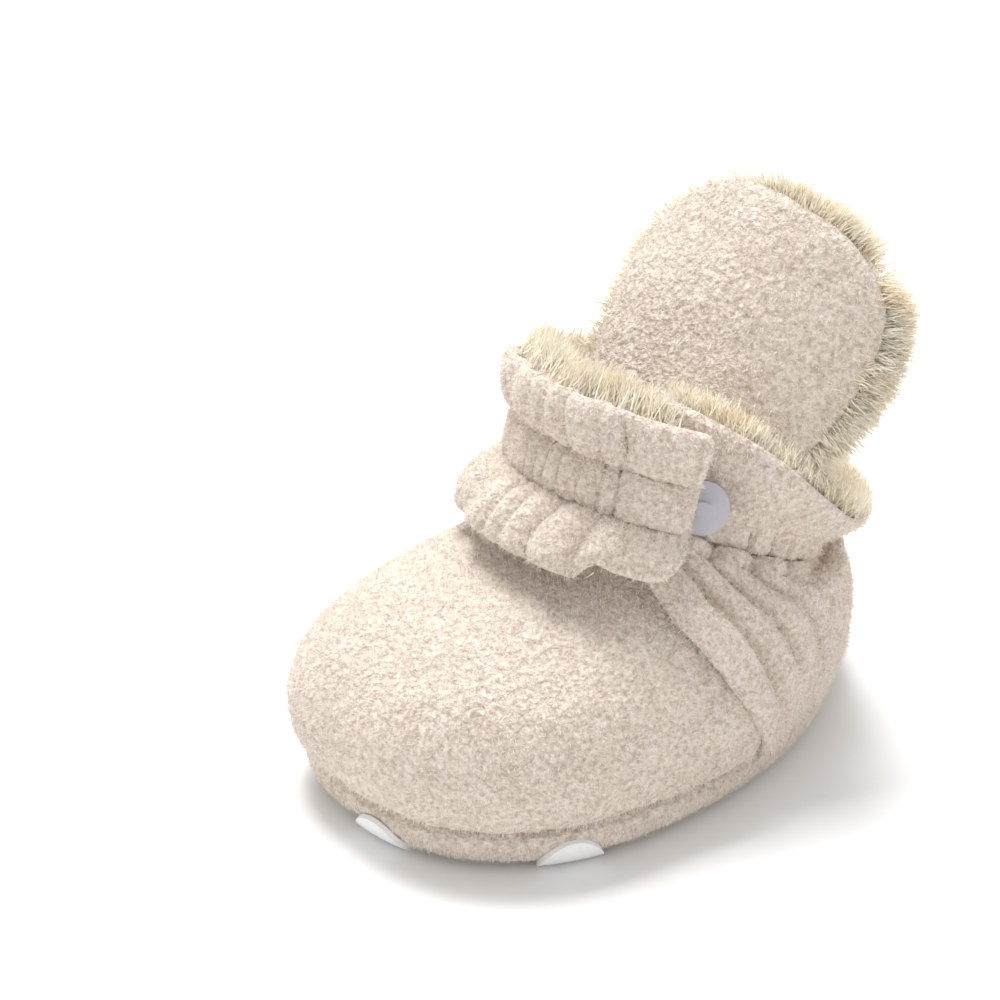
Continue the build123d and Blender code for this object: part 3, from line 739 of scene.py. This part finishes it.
def gathers(b, level):
    """Puffs of the shirred strap: many tight ones in the channel, fewer and fuller outside it."""
    crease = 24.0 + 11.0 * np.clip((14.0 - level) / 24.0, 0, 1.0)
    shirred = 1 - step(crease - 2.5, crease + 1.5, b)
    drift = 0.30 * np.sin(b / 11.0) + 0.18 * np.sin(b / 5.3 + 1.0)
    channel = np.exp(-(level / 4.4) ** 4)
    tight = lobes(b / 7.6 + drift, 0.75)
    upper = lobes(b / 11.4 + drift * 0.9 + 0.03 * (level - 5), 0.75)
    lower = lobes(b / 13.0 + drift + 0.10 * np.sin(level / 3.0), 0.8)
    top = step(4.4, 8.5, level)
    bottom = step(-4.4, -9.0, level)
    upper_swell = 1.3 * np.sin(np.clip((level - 4.5) / 11.5, 0, 1) * np.pi)
    lower_swell = 1.6 * np.sin(np.clip((-level - 4.5) / 12.0, 0, 1) * np.pi)
    puff = 2.0 * channel * (tight - 0.6)
    puff = puff + top * (3.1 * (upper - 0.62) + upper_swell)
    puff = puff + bottom * (2.9 * (lower - 0.6) + lower_swell)
    rows = np.exp(-((np.abs(level) - CHANNEL) / 1.0) ** 2)
    return shirred * (puff - 1.3 * rows) - (1 - shirred) * 0.55 * rows, shirred


strap_base, sb, sl = strap_grid(0.72, 1.6, STRAP_START, TAB_END)
puff, shirred = gathers(sb, sl)
lump = (1 - shirred) * (0.5 + 0.8 * noise(strap_base, 12, 41))
strap_base = strap_base + normals(strap_base) * (puff + lump)[..., None]
strap, strap_face, _ = pad("strap_tab", strap_base, 1.7, 0.9, 2.3, FLEECE)
rise = np.array([0, math.sin(STRAP_LEAN), math.cos(STRAP_LEAN)])


def strap_blend(thing, finish, *nodes):
    """Bake a strap piece's placement into its mesh and hide the frame parts that it stands for."""
    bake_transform(thing)
    if nodes:
        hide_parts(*nodes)


strap_blend(strap, "fleece", "strap_outer", "tab_outer")
strap_blend(fuzz("strap_tab_fibres", strap_face, 3.4, FLEECE_FUZZ), "fleece")
inner_base, _, _ = strap_grid(1.3, 3.6, STRAP_START + 0.5, TAB_LINING_END, 0.7)
inner, _, inner_back = pad("strap_lining_pile", inner_base, 0.5, 1.3, 1.3, PLUSH, 0.3)
strap_blend(inner, "plush", "strap_lining", "tab_lining")


def strap_level(points):
    """Height of points above the strap's elastic line."""
    return (points - STRAP_CENTRE) @ rise


def strap_bearing(points):
    """Bearing of points round the middle of the strap, seen from above."""
    return np.degrees(np.arctan2(points[..., 0] - STRAP_CENTRE[0], STRAP_CENTRE[1] - points[..., 1]))


def strap_rim(points):
    """Tufts behind the strap's top edge, none on the tab."""
    return np.exp(-((strap_level(points) - 14.5) / 2.6) ** 2) * (strap_bearing(points) < 40)


def strap_inside(points):
    """Tufts over the inner face of the strap, none on the flat tab."""
    return (strap_bearing(points) < 22).astype(float)


strap_blend(fur("strap_rim_tufts", inner_back, 1300, 9, (4.0, 8.0), tuple(rise * 1.5), PLUSH,
                strap_rim, 1.25, 0.55), "plush")
strap_blend(fur("strap_inner_pile", inner_back, 1800, 4, (1.2, 2.2), tuple(rise * 0.8), PLUSH,
                strap_inside), "plush")


def stitches(name, rows, face, level, step_mm):
    """Short thread stitches lying in the grooves of a grid surface."""
    grid, n = face
    points = []
    faces = []
    for row in rows:
        col = np.abs(level - row).argmin(axis=1)
        line = grid[np.arange(len(grid)), col] + 0.10 * n[np.arange(len(grid)), col]
        line = line[6:-8]
        out = n[np.arange(len(grid)), col][6:-8]
        run = np.concatenate([[0], np.cumsum(np.linalg.norm(np.diff(line, axis=0), axis=1))])
        for begin in np.arange(0.5, run[-1] - step_mm, step_mm):
            where = begin + np.linspace(0, step_mm * 0.72, 5)
            middle = np.stack([np.interp(where, run, line[:, k]) for k in range(3)], -1)
            up = unit(np.stack([np.interp(where, run, out[:, k]) for k in range(3)], -1))
            along = unit(np.gradient(middle, axis=0))
            across = unit(np.cross(along, up))
            lift = 0.16 * np.sin(np.linspace(0, np.pi, 5))[:, None]
            thick = 0.17 * np.array([0.35, 1, 1, 1, 0.35])[:, None]
            first = len(points)
            for turn in np.linspace(0, 2 * math.pi, 6, endpoint=False):
                centre = middle + up * (lift + thick * math.cos(turn))
                points.extend(centre + across * thick * math.sin(turn))
            for a in range(6):
                for k in range(4):
                    p = first + a * 5 + k
                    q = first + (a + 1) % 6 * 5 + k
                    faces.append((p, p + 1, q + 1, q))
            faces.append(tuple(first + 5 * a for a in range(5, -1, -1)))
            faces.append(tuple(first + 5 * a + 4 for a in range(6)))
    return build(name, np.array(points), faces, THREAD)


strap_blend(stitches("strap_stitches", (-CHANNEL, CHANNEL), strap_face, sl, 2.6), "fleece")

root_v = spaced(27.0, 0.9, 1.4)
root_b = -107.0 + 25.0 * spaced(14.0, 0.7, 1.4)
root_level = np.broadcast_to(-13.5 + 27.0 * root_v[None], (len(root_b), len(root_v)))
root_base = ring(STRAP_CENTRE, STRAP_LEAN, root_b[:, None] + 0 * root_level,
                 strap_radius(root_level) - 1.9, root_level)
strap_root, _, _ = pad("strap_root", root_base, 0.8, 0.8, 1.4, FLEECE)
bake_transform(strap_root)


# ---- tongue --------------------------------------------------------------------------------------
def turn(axis, angle):
    """Rotation matrix about one axis."""
    c, s = math.cos(angle), math.sin(angle)
    return {"x": np.array([[1, 0, 0], [0, c, -s], [0, s, c]]),
            "y": np.array([[c, 0, s], [0, 1, 0], [-s, 0, c]]),
            "z": np.array([[c, -s, 0], [s, c, 0], [0, 0, 1]])}[axis]


TONGUE = turn("z", TONGUE_TURN[0]) @ turn("x", TONGUE_TURN[1]) @ turn("y", TONGUE_TURN[2])


def tongue_place(depth):
    """Surface of the tongue at a depth behind its face; x across, z up the flap."""
    def place(x, z):
        y = TONGUE_CURVE - np.sqrt((TONGUE_CURVE - depth) ** 2 - x ** 2)
        return np.stack([x, y, z], -1) @ TONGUE.T + TONGUE_FOOT
    return place


def tongue_outline(grow=0.0, count=200):
    """Outline of the flap: narrow foot, widest at mid height, round top."""
    sides = []
    for x in TONGUE_SIDES:
        run = np.concatenate([[0], np.cumsum(np.hypot(np.diff(x), np.diff(TONGUE_HEIGHTS)))])
        at = np.linspace(0, run[-1], count // 2)
        sides.append(np.stack([curve(run, x, at), curve(run, TONGUE_HEIGHTS, at)], -1))
    right = sides[0]
    left = sides[1][::-1][1:] * [-1, 1]
    half = TONGUE_SIDES[0][0]
    foot = np.stack([np.linspace(-half, half, 16)[1:-1], np.full(14, TONGUE_HEIGHTS[0])], -1)
    loop = np.concatenate([right, left, foot])
    middle = np.array([0, 18.0])
    return loop + unit(loop - middle) * grow


def tongue_swell(x, z):
    """Gentle padding of the tongue's face."""
    crown = 0.9 * np.exp(-((x / 18) ** 2 + ((z - 24) / 16) ** 2))
    creases = 0.5 * np.sin(x / 7.0) * np.exp(-(z / 14) ** 2)
    return 1.2 + crown + creases


def tongue_blend(thing, finish, *nodes):
    """Bake a tongue piece's placement into its mesh and hide the frame parts that it stands for."""
    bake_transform(thing)
    if nodes:
        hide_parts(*nodes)


tongue, tongue_face, _ = disc("tongue_face", tongue_place(1.2), tongue_outline(), tongue_swell,
                              0.9, 3.0, FLEECE, 1.0)
tongue_blend(tongue, "fleece", "tongue_outer")
tongue_blend(fuzz("tongue_fibres", tongue_face, 3.4, FLEECE_FUZZ), "fleece")
tongue_pile, pile_front, pile_back = disc("tongue_pile", tongue_place(4.0), tongue_outline(0.2),
                                          1.4, 1.8, 2.4, PLUSH, 2.0, 0.5)
tongue_blend(tongue_pile, "plush", "tongue_lining")
out_of = tongue_place(4.0)(np.array(0.0), np.array(18.0))
to_back = TONGUE @ np.array([0, 1.0, 0])


def outwards(points, n):
    """Lean of the pile away from the middle of the flap."""
    away = points - out_of
    away = away - (away @ to_back)[:, None] * to_back
    reach = np.linalg.norm(away, axis=1, keepdims=True)
    right = 0.1 + 0.9 * step(-14, 6, ((points - TONGUE_FOOT) @ TONGUE)[:, :1])
    return unit(away) * np.clip((reach - 16) / 10, 0, 1.5) * right


def tongue_rim(points):
    """Tufts near the tongue's edge, fuller on its right."""
    local = (points - TONGUE_FOOT) @ TONGUE
    level = np.clip(local[..., 2], TONGUE_HEIGHTS[0], TONGUE_HEIGHTS[-1])
    wide = np.where(local[..., 0] > 0, curve(TONGUE_HEIGHTS, TONGUE_SIDES[0], level),
                    curve(TONGUE_HEIGHTS, TONGUE_SIDES[1], level))
    edge = np.minimum(wide - np.abs(local[..., 0]), 1.3 * (43.5 - local[..., 2]))
    fuller = 0.25 + step(-12, 6, local[..., 0])
    return np.exp(-(np.maximum(edge, 0) / 3.0) ** 2) * (local[..., 2] > 1) * fuller


tongue_blend(fur("tongue_back_pile", pile_back, 3600, 5, (3.5, 6.0), outwards, PLUSH), "plush")
tongue_blend(fur("tongue_rim_tufts", pile_back, 1500, 5, (4.0, 7.0),
                 lambda p, n: 1.5 * outwards(p, n) - 0.2 * n, PLUSH, tongue_rim), "plush")
tongue_blend(fur("tongue_edge_tufts", pile_front, 1500, 5, (3.0, 6.0),
                 lambda p, n: 2.2 * outwards(p, n), PLUSH, tongue_rim), "plush")

# ---- hard parts kept from the frame -----------------------------------------------------------------
for node, finish in (("grip_patches", GRIP), ("snap_studs", SNAP), ("stud_caps", SNAP),
                     ("snap_socket", SNAP), ("socket_cap", SNAP)):
    mesh = bpy.data.objects[node].data
    if not mesh.materials:
        mesh.materials.append(finish)
    for i in range(len(mesh.materials)):
        mesh.materials[i] = finish

# ---- floor, lights and camera --------------------------------------------------------------------
bpy.ops.mesh.primitive_plane_add(size=6.0, location=(0, 0, 0))
floor = bpy.context.object
floor.name = "studio_floor"
FLOOR, floor_tree, floor_shader = material("floor", 0.8, 0.0, 0.2)
floor_shader.inputs["Base Color"].default_value = (0.93, 0.93, 0.93, 1)
floor.data.materials.append(FLOOR)

WORLD_STRENGTH = 0.71
KEY_POWER = 12.0
FILL_POWER = 0.3
LIT_POINT = (0, 0, 0.04)
world = bpy.data.worlds.new("studio")
bpy.context.scene.world = world
world.use_nodes = True
world.node_tree.nodes["Background"].inputs["Color"].default_value = (1.0, 1.0, 1.0, 1)
world.node_tree.nodes["Background"].inputs["Strength"].default_value = WORLD_STRENGTH


def soft_light(name, place, aim, size, power):
    """Square soft light."""
    lamp = bpy.data.lights.new(name, "AREA")
    lamp.size = size
    lamp.energy = power
    thing = bpy.data.objects.new(name, lamp)
    bpy.context.collection.objects.link(thing)
    thing.location = place
    thing.rotation_euler = (Vector(aim) - Vector(place)).to_track_quat("-Z", "Y").to_euler()


soft_light("key", (-0.32, 0.10, 0.95), LIT_POINT, 0.5, KEY_POWER)
soft_light("fill", (0.55, -0.75, 0.55), LIT_POINT, 0.8, FILL_POWER)

AZIMUTH = math.radians(52.02)
ELEVATION = math.radians(25.94)
DISTANCE = 0.47799
FOCAL_LENGTH = 88.46
TARGET = Vector((-0.02872, -0.00619, 0.04111))
back = Vector((math.sin(AZIMUTH) * math.cos(ELEVATION), -math.cos(AZIMUTH) * math.cos(ELEVATION),
               math.sin(ELEVATION)))
lens = bpy.data.cameras.new("camera")
lens.lens = FOCAL_LENGTH
lens.sensor_width = 36.0
camera = bpy.data.objects.new("camera", lens)
bpy.context.collection.objects.link(camera)
camera.location = TARGET + back * DISTANCE
camera.rotation_mode = "QUATERNION"
camera.rotation_quaternion = (-back).to_track_quat("-Z", "Y")
bpy.context.scene.camera = camera
bpy.context.scene.view_settings.view_transform = "Standard"
